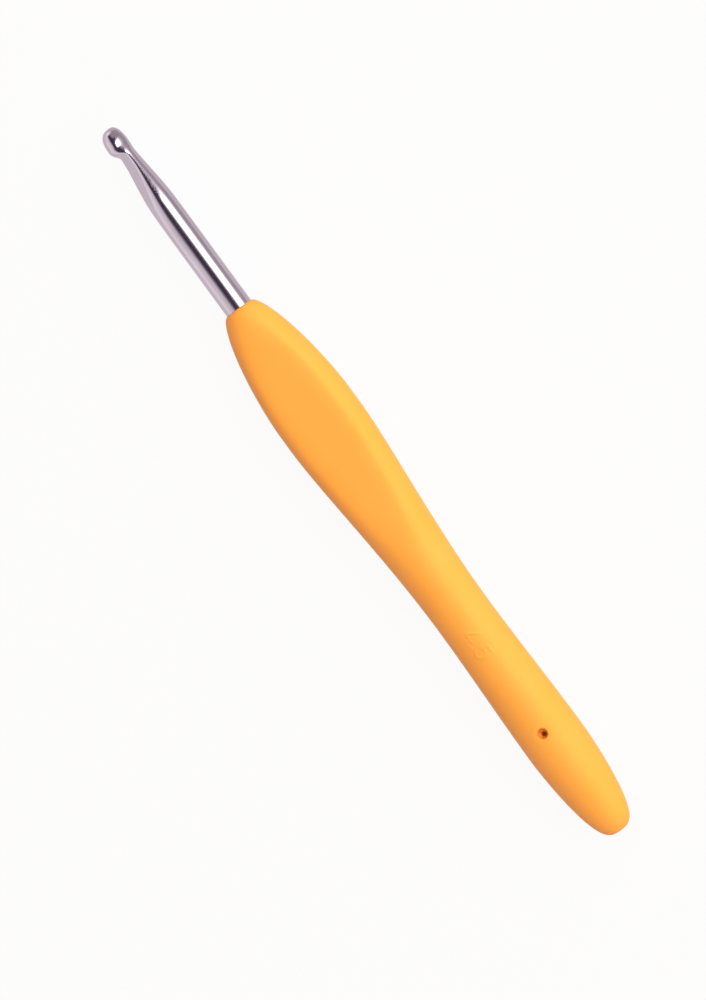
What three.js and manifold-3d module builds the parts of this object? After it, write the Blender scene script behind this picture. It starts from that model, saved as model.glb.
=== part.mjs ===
// Crochet hook with a moulded soft grip.
//
// Lengths are in millimetres. X runs from the hook's tip to the far end of the grip, Y runs across the
// thumb pad and Z stands square to it. The model rests on the flat underside of the grip.
// Each piece is drawn about the shank's axis, with X counted from the tip, and is then put in place.

import * as THREE from 'three';
import { mergeVertices } from 'three/addons/utils/BufferGeometryUtils.js';
import Module from 'manifold-3d';

const wasm = await Module();
wasm.setup();

// Metal pin
const shankDiameter = 4.5;
const exposedLength = 34;
const tangLength = 48;

// Head of the hook: the nose is half an oval, and the lip stands out on the throat's side
const noseLength = 2.85;
const headHalfWidth = 1.61;
const headBackHeight = 1.32;
const headLength = 2.4;
const lipHeight = 2.03;

// Throat: a flat floor cut across the neck, from the lip's back to the ramp
const lipCrestEnd = 3.2;
const lipFadeEnd = 4.95;
const lipBackStart = 3.35;
const lipBackEnd = 4.95;
const throatFloorHeight = 0.6;
const rampStart = 6.8;
const rampEnd = 15;
const rampSoftness = 1;
const rampFadeEnd = 21;

// Neck: it grows along straight tapers to the shank, at its sides and behind it
const neckHalfWidth = 1.27;
const neckStart = 4.7;
const taperEnd = 13.4;
const backTaperEnd = 12.6;
const taperSoftness = 1.3;

// The throat opens to one side of the thumb pad's face
const throatTurn = THREE.MathUtils.degToRad(43);

// Tang: the pin's end in the handle, pressed flat so that the pin can't turn in it
const tangFlatThickness = 3;
const tangFlatWidth = 5.4;
const tangRoundLength = 2.5;
const tangPressLength = 5;
const tangChamfer = 0.6;

// Grip in plan: a wide pad, a waist and a fuller rear part that ends in a blunt nose
const gripLength = 99;
const mouthRadius = 2.3;
const padWidth = 13.2;
const padStation = 22.8;
const waistWidth = 9.04;
const waistToRear = 24;
const rearWidth = 9.82;
const rearNoseLength = 16.5;

// Grip from the side
const shoulderLength = 12;
const padBodyHeight = 4.9;
const padBodyDepth = 5.1;
const waistHeight = 4.45;
const waistDepth = 4.5;
const rearHeight = 4.8;
const rearDepth = 4.85;
const restDepth = 4.7;

// Thumb pad: a shallow saddle pressed into the top of the grip
const padHeight = 3.6;
const padFrontRise = 0.25;
const padRearRise = 1.3;
const padRearLength = 23.2;

// Skin over the core, and the mark of the mould pin
const skinThickness = 0.9;
const coreFrontSetback = 8;
const coreRearSetback = 6;
const coreChamfer = 0.8;
const pinHoleDiameter = 1.6;
const pinHoleSetback = 19.2;
const pinHoleDepth = 2.6;

// One gap between pieces that touch, and one overrun for all cuts
const clearance = 0.3;
const overrun = 1;

// Plain numbers of the shapes
const roundFullness = 2;
const headFullness = 2.6;
const noseFullness = 2.5;
const planLean = 0.82;
const endCurve = 1.6;
const endFullness = 0.3;
const padRearCurve = 3;
const padEdgeSharpness = 10;
const throatEdgeSharpness = 8;
const uncutShare = 1.5;
const chamferShare = 0.85;

// Facets
const hookSectors = 36;
const gripSectors = 40;
const coreSectors = 28;
const holeSectors = 24;
const noseRings = 11;
const headRingCount = 2;
const lipRings = 10;
const neckRings = 17;
const pressRings = 6;
const shoulderRings = 9;
const padRings = 9;
const rearRings = 14;
const endRings = 10;
const coreRings = 18;

const overallLength = exposedLength + gripLength;
const shankRadius = shankDiameter / 2;
const rearStation = gripLength - rearNoseLength;
const waistStation = rearStation - waistToRear;
const pinHoleStation = gripLength - pinHoleSetback;
const pressStart = exposedLength + tangRoundLength;
const flatStart = pressStart + tangPressLength;

// A smooth step from 0 to 1 while x goes from start to end
function ease(x, start, end) {
  return THREE.MathUtils.smoothstep(x, start, end);
}

// The quarter-oval rise from 0 to 1 over a length. A higher fullness makes it blunter.
function roundRise(x, length, fullness = roundFullness) {
  const left = 1 - Math.min(x / length, 1);
  return Math.pow(1 - Math.pow(left, fullness), 1 / fullness);
}

// A straight rise from 0 to 1 with rounded ends
function softRamp(x, start, end, softness) {
  const rise = Math.hypot(x - start, softness) - Math.hypot(x - end, softness);
  return (1 + rise / (end - start)) / 2;
}

// The radius of an oval at an angle from its upper axis, with its own height above and below the axis.
// A higher fullness makes the oval squarer.
function ovalRadius(angle, halfWidth, above, below, fullness = roundFullness) {
  const height = Math.cos(angle) > 0 ? above : below;
  const across = Math.pow(Math.abs(Math.sin(angle)) / halfWidth, fullness);
  const upright = Math.pow(Math.abs(Math.cos(angle)) / height, fullness);
  return Math.pow(across + upright, -1 / fullness);
}

// The smaller of an outline's radius and a flat's, rounded where the two meet
function cutByFlat(radius, angle, flatHeight, sharpness) {
  const reach = Math.cos(angle) / flatHeight;
  if (reach <= 0) return radius;
  const blended = Math.pow(radius, -sharpness) + Math.pow(reach, sharpness);
  return Math.pow(blended, -1 / sharpness);
}

// Evenly spaced stations, or stations crowded towards the start as on a round nose
function evenStations(start, end, count) {
  return Array.from({ length: count }, (_, i) => start + ((end - start) * i) / count);
}

function noseStations(start, end, count) {
  return Array.from({ length: count }, (_, i) => {
    const turn = ((i + 1) / (count + 1)) * (Math.PI / 2);
    return start + (end - start) * (1 - Math.cos(turn));
  });
}

// A closed skin over rings of points: each ring holds its points in turn from +Z towards +Y
function loft(rings, firstPole, lastPole) {
  const sectors = rings[0].length;
  const points = [firstPole, ...rings.flat(), lastPole];
  const last = points.length - 1;
  const index = [];
  for (let j = 0; j < sectors; j += 1) {
    const next = (j + 1) % sectors;
    const lastRing = 1 + (rings.length - 1) * sectors;
    index.push(0, 1 + j, 1 + next);
    index.push(last, lastRing + next, lastRing + j);
    for (let i = 0; i < rings.length - 1; i += 1) {
      const a = 1 + i * sectors + j;
      const b = 1 + i * sectors + next;
      index.push(a, a + sectors, b);
      index.push(b, a + sectors, b + sectors);
    }
  }
  const geometry = new THREE.BufferGeometry().setFromPoints(points);
  geometry.setIndex(index);
  return geometry;
}

// Rings whose radius is a function of the angle from +Z and the station along X
function radialRings(stations, sectors, radiusAt) {
  return stations.map((x) => Array.from({ length: sectors }, (_, j) => {
    const angle = (j / sectors) * 2 * Math.PI;
    const radius = radiusAt(angle, x);
    return new THREE.Vector3(x, radius * Math.sin(angle), radius * Math.cos(angle));
  }));
}

function solidOf(geometry) {
  const bare = geometry.clone();
  bare.deleteAttribute('normal');
  bare.deleteAttribute('uv');
  const merged = mergeVertices(bare);
  return new wasm.Manifold(new wasm.Mesh({
    numProp: 3,
    vertProperties: Float32Array.from(merged.attributes.position.array),
    triVerts: Uint32Array.from(merged.index.array),
  }));
}

function geometryOf(solid) {
  const mesh = solid.getMesh();
  const geometry = new THREE.BufferGeometry();
  geometry.setAttribute('position', new THREE.BufferAttribute(Float32Array.from(mesh.vertProperties), 3));
  geometry.setIndex(new THREE.BufferAttribute(Uint32Array.from(mesh.triVerts), 1));
  geometry.computeVertexNormals();
  return geometry;
}

function noseRise(x) {
  return roundRise(x, noseLength, noseFullness);
}

// Half width of the metal across the throat: nose, head, neck and shank
function pinHalfWidth(x) {
  const bulge = (headHalfWidth - neckHalfWidth) * (1 - ease(x, headLength, neckStart));
  const taper = softRamp(x, neckStart, taperEnd, taperSoftness);
  return (neckHalfWidth + bulge) * noseRise(x) + (shankRadius - neckHalfWidth) * taper;
}

// Depth of the metal behind the axis, on the side away from the throat
function pinBackHeight(x) {
  const taper = softRamp(x, headLength, backTaperEnd, taperSoftness);
  return headBackHeight * noseRise(x) + (shankRadius - headBackHeight) * taper;
}

// Height of the metal on the throat's side, as it is before the throat is cut
function pinLipHeight(x) {
  const lip = (lipHeight - headBackHeight) * noseRise(x);
  return pinBackHeight(x) + lip * (1 - ease(x, lipCrestEnd, lipFadeEnd));
}

// Height of the throat's floor: it drops behind the lip, runs level and climbs out along a straight ramp
function throatHeight(x) {
  const above = lipHeight * uncutShare;
  const drop = above + (throatFloorHeight - above) * ease(x, lipBackStart, lipBackEnd);
  const slope = (shankRadius - throatFloorHeight) / (rampEnd - rampStart);
  const past = x - rampStart;
  return drop + slope * (past + Math.hypot(past, rampSoftness)) / 2;
}

// Radius of the hook at an angle from +Z: its sections are turned so that the throat opens to one side,
// and they are squarer at the head
function pinRadius(angle, x) {
  const fromThroat = angle + throatTurn;
  const fullness = THREE.MathUtils.lerp(headFullness, roundFullness, ease(x, lipBackStart, lipBackEnd));
  const whole = ovalRadius(fromThroat, pinHalfWidth(x), pinLipHeight(x), pinBackHeight(x), fullness);
  return cutByFlat(whole, fromThroat, throatHeight(x), throatEdgeSharpness);
}

// Section of the tang, with growth added all round for the passage that holds it
function tangRadius(angle, x, growth) {
  const pressed = ease(x, pressStart, flatStart);
  const halfWidth = THREE.MathUtils.lerp(shankRadius, tangFlatWidth / 2, pressed) + growth;
  const halfThickness = THREE.MathUtils.lerp(shankRadius, tangFlatThickness / 2, pressed) + growth;
  return ovalRadius(angle, halfWidth, halfThickness, halfThickness);
}

function tangStations() {
  return [exposedLength, ...evenStations(pressStart, flatStart, pressRings), flatStart];
}

function makeHookShaft() {
  const stations = [
    ...noseStations(0, noseLength, noseRings),
    ...evenStations(noseLength, lipBackStart, headRingCount),
    ...evenStations(lipBackStart, lipBackEnd, lipRings),
    ...evenStations(lipBackEnd, rampFadeEnd, neckRings),
    rampFadeEnd,
  ];
  const headRings = radialRings(stations, hookSectors, pinRadius);
  const end = exposedLength + tangLength;
  const tangRings = radialRings(
    [...tangStations(), end - tangChamfer],
    hookSectors,
    (angle, x) => tangRadius(angle, x, 0),
  );
  const endRing = radialRings([end], hookSectors, (angle, x) => tangRadius(angle, x, -tangChamfer));
  return loft(
    [...headRings, ...tangRings, ...endRing],
    new THREE.Vector3(),
    new THREE.Vector3(end, 0, 0),
  );
}

// The space that the tang takes in the handle, open at the handle's mouth
function makeTangPassage() {
  const end = exposedLength + tangLength + clearance;
  const rings = radialRings(
    [exposedLength - overrun, ...tangStations(), end],
    hookSectors,
    (angle, x) => tangRadius(angle, x, clearance),
  );
  const first = new THREE.Vector3(exposedLength - overrun, 0, 0);
  return solidOf(loft(rings, first, new THREE.Vector3(end, 0, 0)));
}

// A size of the grip that swells from the mouth to the pad, falls to the waist, rises to the rear part
// and closes in a blunt end
function gripSize(x, rise, pad, waist, rear) {
  const start = mouthRadius + (pad - mouthRadius) * roundRise(x, rise);
  const lean = Math.pow(THREE.MathUtils.clamp((x - padStation) / (waistStation - padStation), 0, 1), planLean);
  const fall = (waist - pad) * ease(lean, 0, 1);
  const swell = (rear - waist) * ease(x, waistStation, rearStation);
  const past = Math.max(0, x - rearStation) / rearNoseLength;
  const close = Math.pow(Math.max(0, 1 - Math.pow(past, endCurve)), endFullness);
  return (start + fall + swell) * close;
}

// Height of the thumb pad's saddle above the axis
function padSaddle(x) {
  const front = Math.max(0, padStation - x) / padStation;
  const rear = Math.max(0, x - padStation) / padRearLength;
  return padHeight + padFrontRise * front * front + padRearRise * Math.pow(rear, padRearCurve);
}

// Radius of the grip at an angle from +Z, with x counted from the grip's front
function gripRadius(angle, x) {
  const halfWidth = gripSize(x, padStation, padWidth / 2, waistWidth / 2, rearWidth / 2);
  const above = gripSize(x, shoulderLength, padBodyHeight, waistHeight, rearHeight);
  const below = gripSize(x, shoulderLength, padBodyDepth, waistDepth, rearDepth);
  return cutByFlat(ovalRadius(angle, halfWidth, above, below), angle, padSaddle(x), padEdgeSharpness);
}

function makeGripBody() {
  const stations = [
    0,
    ...noseStations(0, padStation, shoulderRings),
    ...evenStations(padStation, padStation + padRearLength, padRings),
    ...evenStations(padStation + padRearLength, rearStation, rearRings),
    rearStation,
    ...noseStations(0, rearNoseLength, endRings).map((x) => gripLength - x).reverse(),
  ];
  const rings = radialRings(stations, gripSectors, gripRadius);
  const body = solidOf(loft(rings, new THREE.Vector3(), new THREE.Vector3(gripLength, 0, 0)));
  const below = new THREE.BoxGeometry(gripLength + 2 * overrun, padWidth + 2 * overrun, padBodyDepth);
  below.translate(gripLength / 2, 0, -restDepth - padBodyDepth / 2);
  return body.subtract(solidOf(below)).translate(exposedLength, 0, 0);
}

// The core follows the grip's inner face. Growth makes the space that the core takes in the grip.
function makeCoreBody(growth) {
  const front = coreFrontSetback - growth;
  const rear = gripLength - coreRearSetback + growth;
  const inset = skinThickness + clearance - growth;
  const coreRadius = (angle, x) => {
    const flatBelow = cutByFlat(gripRadius(angle, x), Math.PI - angle, restDepth, padEdgeSharpness);
    return flatBelow - inset;
  };
  const chamferRadius = (angle, x) => coreRadius(angle, x) * chamferShare;
  const fullStations = [
    ...evenStations(front + coreChamfer, rear - coreChamfer, coreRings),
    rear - coreChamfer,
  ];
  const rings = [
    ...radialRings([front], coreSectors, chamferRadius),
    ...radialRings(fullStations, coreSectors, coreRadius),
    ...radialRings([rear], coreSectors, chamferRadius),
  ];
  const body = solidOf(loft(rings, new THREE.Vector3(front, 0, 0), new THREE.Vector3(rear, 0, 0)));
  return body.translate(exposedLength, 0, 0);
}

// The hole that the mould pin leaves: it goes through the skin and ends in the core
function makePinHole() {
  const radius = pinHoleDiameter / 2;
  const height = pinHoleDepth + overrun;
  const hole = new THREE.CylinderGeometry(radius, radius, height, holeSectors);
  hole.rotateX(Math.PI / 2);
  hole.translate(exposedLength + pinHoleStation, 0, rearHeight - pinHoleDepth + height / 2);
  return solidOf(hole);
}

function makeHandleCore() {
  return geometryOf(makeCoreBody(0)
    .subtract(makeTangPassage())
    .subtract(makePinHole()));
}

function makeGrip() {
  return geometryOf(makeGripBody()
    .subtract(makeCoreBody(clearance))
    .subtract(makeTangPassage())
    .subtract(makePinHole()));
}

function piece(name, geometry, color, metalness, roughness) {
  const material = new THREE.MeshStandardMaterial({ color, metalness, roughness });
  const mesh = new THREE.Mesh(geometry, material);
  mesh.name = name;
  mesh.position.set(-overallLength / 2, 0, restDepth);
  return mesh;
}

const crochetHook = new THREE.Group();
crochetHook.add(
  piece('hook_shaft', makeHookShaft(), 0xc9c4cc, 1, 0.18),
  piece('handle_core', makeHandleCore(), 0xe08a2c, 0, 0.5),
  piece('grip', makeGrip(), 0xfeb34a, 0, 0.6),
);

export default crochetHook;
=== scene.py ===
"""Crochet hook with a moulded soft grip: its looks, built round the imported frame.

Shapes are worked out in millimetres about the shank's axis, with X counted from the hook's tip, Y running
across the thumb pad and Z standing square to it. The place of that axis in the frame is added last, in the
mesh itself, and every object stands in metres.
"""

import logging
from dataclasses import dataclass, field
from enum import Enum

import bpy
import numpy as np
from mathutils import Matrix, Vector


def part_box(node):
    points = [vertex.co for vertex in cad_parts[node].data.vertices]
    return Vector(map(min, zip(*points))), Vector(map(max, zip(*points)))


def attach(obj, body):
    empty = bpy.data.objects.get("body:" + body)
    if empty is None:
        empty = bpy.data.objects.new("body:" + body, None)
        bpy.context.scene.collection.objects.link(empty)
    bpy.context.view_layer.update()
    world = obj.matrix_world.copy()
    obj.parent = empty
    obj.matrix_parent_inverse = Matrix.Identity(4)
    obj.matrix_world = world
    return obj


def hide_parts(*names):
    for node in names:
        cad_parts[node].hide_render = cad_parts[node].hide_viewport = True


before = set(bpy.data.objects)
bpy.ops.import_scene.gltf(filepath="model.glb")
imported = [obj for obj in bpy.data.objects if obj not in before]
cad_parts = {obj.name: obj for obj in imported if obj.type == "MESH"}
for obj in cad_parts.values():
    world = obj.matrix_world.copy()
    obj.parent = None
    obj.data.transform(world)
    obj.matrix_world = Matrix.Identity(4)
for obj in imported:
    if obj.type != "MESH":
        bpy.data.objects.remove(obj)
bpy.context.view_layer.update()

LOG = logging.getLogger("crochet_hook")
BODY = "root"
MM = 0.001
FULL_TURN = 2 * np.pi

NOISE_RANGE = (0.3, 0.7)
UNIT_RANGE = (0.0, 1.0)
FINE_LAYERS = 2.0
CLOUD_LAYERS = 3.0

Array = np.ndarray
Piece = bpy.types.Object
Material = bpy.types.Material
Socket = bpy.types.NodeSocket
Pair = tuple[float, float]
Colour = tuple[float, float, float]
Stretch = tuple[float, float, float]

WHITE: Colour = (1.0, 1.0, 1.0)


# Formulas of the shapes


def ease(x: Array, start: float, end: float) -> Array:
    """A smooth step from 0 to 1: 3 t^2 - 2 t^3, where t is the share of the way from start to end."""
    share = np.clip((x - start) / (end - start), 0, 1)
    return share * share * (3 - 2 * share)


def round_rise(x: Array, length: float, fullness: float = 2.0) -> Array:
    """A quarter-oval rise from 0 to 1, (1 - (1 - x / length)^f)^(1/f), blunter at a higher fullness f."""
    left = 1 - np.clip(x / length, 0, 1)
    return (1 - left**fullness) ** (1 / fullness)


def soft_ramp(x: Array, start: float, end: float, softness: float) -> Array:
    """A straight rise from 0 at the start to 1 at the end, with rounded ends of the softness's size."""
    # Half of 1 + (h(x - start) - h(x - end)) / (end - start), with h(v) the root of v^2 + softness^2
    return (1 + (np.hypot(x - start, softness) - np.hypot(x - end, softness)) / (end - start)) / 2


def oval_radius(
    angle: Array, half_width: Array, above: Array, below: Array, fullness: Array | float = 2.0
) -> Array:
    """The radius of an oval at an angle from its upper axis.

    It is (|sin a / half width|^f + |cos a / height|^f)^(-1/f), with its own height above and below. A
    fullness f of 2 gives an ellipse, and a higher one a squarer oval.

    Args:
        angle: The angle from the upper axis.
        half_width: Half of the oval's width.
        above: Its height above the axis.
        below: Its depth below the axis.
        fullness: The power f.

    Returns:
        The radius at each angle.
    """
    height = np.where(np.cos(angle) > 0, above, below)
    across, upright = np.abs(np.sin(angle)) / half_width, np.abs(np.cos(angle)) / height
    return (across**fullness + upright**fullness) ** (-1 / fullness)


def cut_by_flat(radius: Array, angle: Array, flat_height: Array, sharpness: float) -> Array:
    """The smaller of an outline's radius and a flat's, rounded where the two meet."""
    # The radius R is divided by (1 + (R cos a / h)^k)^(1/k), with h the flat's height and k the sharpness
    reach = radius * np.maximum(np.cos(angle), 0) / flat_height
    return radius * (1 + reach**sharpness) ** (-1 / sharpness)


def even_stations(outline: Array, start: float, end: float, step: float) -> Array:
    """Stations from start to end, spaced evenly along an outline and not along X.

    The outline's length is summed up point by point, and X is read back at equal shares of it.

    Args:
        outline: Rows of X and height, in order of X.
        start: The first station.
        end: The last station, which is left out.
        step: The spacing along the outline.

    Returns:
        The stations' X.
    """
    along = np.concatenate([[0], np.cumsum(np.linalg.norm(np.diff(outline, axis=0), axis=1))])
    first, last = np.interp([start, end], outline[:, 0], along)
    count = max(1, round((last - first) / step))
    return np.interp(np.linspace(first, last, count + 1), along, outline[:, 0])[:-1]


def crowded_ends(start: float, end: float, count: int) -> Array:
    """Values that crowd towards both ends, as points of a half circle do when seen from its side."""
    return start + (end - start) * (1 - np.cos(np.linspace(0, np.pi, count))) / 2


def rings_of(stations: Array, angles: Array, radius: Array) -> Array:
    """Points (x, R sin a, R cos a) on rings about the axis, with the angles a from +Z towards +Y."""
    x = np.broadcast_to(stations[:, None], radius.shape)
    return np.stack([x, radius * np.sin(angles), radius * np.cos(angles)], axis=-1)


# Meshes


def new_object(name: str, data: bpy.types.ID) -> Piece:
    """Makes an object and links it to the scene.

    Args:
        name: The object's name.
        data: Its mesh, lamp or camera.

    Returns:
        The object, at the origin.
    """
    made = bpy.data.objects.new(name, data)
    bpy.context.scene.collection.objects.link(made)
    return made


@dataclass
class Skin:
    """A closed skin that is gathered in parts: points, four-sided faces and three-sided faces."""

    points: list[Array] = field(default_factory=list)
    quads: list[Array] = field(default_factory=list)
    triangles: list[Array] = field(default_factory=list)
    count: int = 0

    def add_points(self, points: Array) -> Array:
        """Adds points.

        Args:
            points: An array whose last axis holds X, Y and Z.

        Returns:
            The points' numbers, in the same layout.
        """
        flat = points.reshape(-1, 3)
        numbers = np.arange(self.count, self.count + len(flat)).reshape(points.shape[:-1])
        self.points.append(flat)
        self.count += len(flat)
        return numbers

    def add_strip(self, numbers: Array, keep: Array | None = None) -> None:
        """Joins each ring of points to the next, all the way round.

        Args:
            numbers: The points' numbers, ring by ring.
            keep: Which cells get a face, ring by ring, or None for all of them.
        """
        here, after = numbers[:-1], numbers[1:]
        cells = np.stack([here, after, np.roll(after, -1, axis=1), np.roll(here, -1, axis=1)], axis=-1)
        self.quads.append(cells.reshape(-1, 4) if keep is None else cells[keep])

    def add_pole(self, ring: Array, pole: Array, at_end: bool) -> None:
        """Closes a ring with a fan of faces.

        Args:
            ring: The numbers of the ring's points.
            pole: The point in the middle.
            at_end: Whether the ring is the last of its surface, which turns the faces round.
        """
        middle = np.full(len(ring), self.add_points(pole[None])[0])
        following = np.roll(ring, -1)
        sides = [following, ring] if at_end else [ring, following]
        self.triangles.append(np.stack([middle, *sides], axis=-1))

    def to_object(self, name: str, axis_place: Array) -> Piece:
        """Makes the Blender object, without the points that no face uses.

        Args:
            name: The object's name.
            axis_place: Where the hook's tip lies on the shank's axis in the frame, in metres.

        Returns:
            The object, at the origin, with its place in its mesh.
        """
        points, quads = np.concatenate(self.points), np.concatenate(self.quads)
        triangles = np.concatenate(self.triangles)
        used = np.union1d(quads, triangles)
        faces = np.searchsorted(used, quads).tolist() + np.searchsorted(used, triangles).tolist()
        mesh = bpy.data.meshes.new(name)
        mesh.from_pydata((points[used] * MM + axis_place).tolist(), [], faces)
        mesh.shade_smooth()
        mesh.update()
        LOG.info("%s: %d faces", name, len(faces))
        return new_object(name, mesh)


def dress(piece: Piece, material: Material) -> None:
    """Gives a piece its material and its slot, and lets it ride on the one body.

    Args:
        piece: The object.
        material: Its material.
    """
    piece.data.materials.clear()
    piece.data.materials.append(material)
    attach(piece, BODY)


# Finishes


@dataclass
class NodeSheet:
    """A node tree that is filled one node at a time."""

    tree: bpy.types.NodeTree

    def add(self, kind: str, values: dict[str | int, object], **settings: object) -> bpy.types.Node:
        """Adds a node.

        Args:
            kind: The node's type.
            values: For each input, by name or number, a value or the output socket that feeds it.
            settings: The node's own properties.

        Returns:
            The node.
        """
        node = self.tree.nodes.new(kind)
        for name, setting in settings.items():
            setattr(node, name, setting)
        for key, value in values.items():
            if isinstance(value, Socket):
                self.tree.links.new(value, node.inputs[key])
            else:
                node.inputs[key].default_value = value
        return node

    def noise(self, place: Socket, scale: object, layers: float) -> Socket:
        """Gives a noise with so many blotches in a metre, whose value is from about 0.3 to 0.7."""
        node = self.add("ShaderNodeTexNoise", {"Vector": place, "Scale": scale, "Detail": layers})
        return node.outputs["Fac"]

    def remap(self, value: Socket, given: Pair, wanted: Pair) -> Socket:
        """Carries a value over from a given range to a wanted one, and holds it there."""
        ends = {"From Min": given[0], "From Max": given[1], "To Min": wanted[0], "To Max": wanted[1]}
        return self.add("ShaderNodeMapRange", {"Value": value} | ends).outputs["Result"]

    def calculate(self, operation: str, first: Socket, second: Socket | float) -> Socket:
        """Gives the product, the larger or the like of two values."""
        return self.add("ShaderNodeMath", {0: first, 1: second}, operation=operation).outputs[0]

    def blend(self, share: Socket, first: object, second: object) -> Socket:
        """Mixes two colours or colour sockets, where the share is the second one's."""
        values = {"Factor": share, 6: first, 7: second}  # 6 and 7 are the node's colours
        return self.add("ShaderNodeMix", values, data_type="RGBA").outputs[2]

    def bump(self, height: Socket, strength: float, distance: float) -> Socket:
        """Gives the normal of a surface with a height pattern on it."""
        values = {"Height": height, "Strength": strength, "Distance": distance}
        return self.add("ShaderNodeBump", values).outputs["Normal"]

    def glow(self, colour: object) -> Socket:
        """Gives the shader of a surface that glows in a colour, or in that of a socket."""
        return self.add("ShaderNodeEmission", {"Color": colour, "Strength": 1.0}).outputs["Emission"]

    def place(self, stretch: Stretch = (1, 1, 1)) -> Socket:
        """Gives the object's own coordinates, which are the frame's, stretched along each axis."""
        own = self.add("ShaderNodeTexCoord", {}).outputs["Object"]
        return self.add("ShaderNodeMapping", {"Vector": own, "Scale": stretch}).outputs["Vector"]


def opaque(colour: Colour) -> tuple[float, ...]:
    """The colour with full alpha."""
    return (*colour, 1.0)


def new_material(name: str) -> NodeSheet:
    """Starts a material with nothing but its output.

    Args:
        name: The material's name.

    Returns:
        Its node tree.
    """
    material = bpy.data.materials.new(name)
    material.use_nodes = True
    material.node_tree.nodes.clear()
    return NodeSheet(material.node_tree)


def finish_material(sheet: NodeSheet, surface: Socket) -> Material:
    """Feeds a surface's shader to its material's output, and gives the material."""
    sheet.add("ShaderNodeOutputMaterial", {"Surface": surface})
    return next(m for m in bpy.data.materials if m.node_tree == sheet.tree)


def moulded_grain() -> bpy.types.NodeTree:
    """The grain and the cloudiness of a moulded surface, which the skin and the core both show.

    Returns:
        A group with the grain's height and a cloud mask, each from 0 to 1.
    """
    name = "moulded_grain"
    if name in bpy.data.node_groups:
        return bpy.data.node_groups[name]
    group = bpy.data.node_groups.new(name, "ShaderNodeTree")
    for label, kind in (("Vector", "Vector"), ("Grain Scale", "Float"), ("Cloud Scale", "Float")):
        group.interface.new_socket(label, in_out="INPUT", socket_type="NodeSocket" + kind)
    for label in ("Height", "Cloud"):
        group.interface.new_socket(label, in_out="OUTPUT", socket_type="NodeSocketFloat")
    sheet = NodeSheet(group)
    given = sheet.add("NodeGroupInput", {}).outputs
    grain = sheet.noise(given["Vector"], given["Grain Scale"], FINE_LAYERS)
    cloud = sheet.noise(given["Vector"], given["Cloud Scale"], CLOUD_LAYERS)
    height, mask = (sheet.remap(noise, NOISE_RANGE, UNIT_RANGE) for noise in (grain, cloud))
    sheet.add("NodeGroupOutput", {"Height": height, "Cloud": mask})
    return group


@dataclass(frozen=True)
class MouldedPlastic:
    """A moulded plastic or elastomer with a fine matte grain and faintly cloudy colour.

    It is painted a darker colour, as shade, where the mesh's attribute "depth" says that a point lies in a
    hole.
    """

    name: str
    base: Colour
    cloudy: Colour
    # painted shade down the mould pin's hole, blended in by the "depth" attribute
    painted_hole_shade: Colour
    roughness: float
    roughness_spread: float
    specular: float
    grain_scale: float = 5200.0
    cloud_scale: float = 130.0
    grain_depth: float = 0.012 * MM
    grain_strength: float = 0.35

    def material(self) -> Material:
        """Builds the material.

        Returns:
            The material.
        """
        sheet = new_material(self.name)
        grain = sheet.add("ShaderNodeGroup", {}, node_tree=moulded_grain())
        sheet.tree.links.new(sheet.place(), grain.inputs["Vector"])
        grain.inputs["Grain Scale"].default_value = self.grain_scale
        grain.inputs["Cloud Scale"].default_value = self.cloud_scale
        height, cloud = grain.outputs["Height"], grain.outputs["Cloud"]
        rough_range = (self.roughness - self.roughness_spread, self.roughness + self.roughness_spread)
        open_colour = sheet.blend(cloud, opaque(self.base), opaque(self.cloudy))
        # Painted shade: the colour turns to the painted hole shade the farther down the hole a point lies
        depth = sheet.add("ShaderNodeAttribute", {}, attribute_name="depth").outputs["Fac"]
        shader = sheet.add(
            "ShaderNodeBsdfPrincipled",
            {
                "Base Color": sheet.blend(depth, open_colour, opaque(self.painted_hole_shade)),
                "Roughness": sheet.remap(height, UNIT_RANGE, rough_range),
                "Specular IOR Level": self.specular,
                "Normal": sheet.bump(height, self.grain_strength, self.grain_depth),
            },
        )
        return finish_material(sheet, shader.outputs["BSDF"])


@dataclass(frozen=True)
class PolishedMetal:
    """Polished metal with fine marks along the shank from the polishing wheel."""

    name: str
    base: Colour
    dull: Colour
    roughness: float
    dull_roughness: float
    wear_range: Pair = (0.12, 0.42)
    mark_stretch: Stretch = (0.02, 1.0, 1.0)
    mark_scale: float = 9000.0
    mark_depth: float = 0.002 * MM
    mark_strength: float = 0.12
    cloud_scale: float = 160.0

    def material(self) -> Material:
        """Builds the material.

        Returns:
            The material.
        """
        sheet = new_material(self.name)
        marks = sheet.noise(sheet.place(self.mark_stretch), self.mark_scale, FINE_LAYERS)
        clouds = sheet.noise(sheet.place(), self.cloud_scale, CLOUD_LAYERS)
        wear = sheet.remap(sheet.calculate("MULTIPLY", marks, clouds), self.wear_range, UNIT_RANGE)
        rough_range = (self.roughness, self.dull_roughness)
        shader = sheet.add(
            "ShaderNodeBsdfPrincipled",
            {
                "Base Color": sheet.blend(wear, opaque(self.base), opaque(self.dull)),
                "Metallic": 1.0,
                "Roughness": sheet.remap(wear, UNIT_RANGE, rough_range),
                "Normal": sheet.bump(marks, self.mark_strength, self.mark_depth),
            },
        )
        return finish_material(sheet, shader.outputs["BSDF"])


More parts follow.
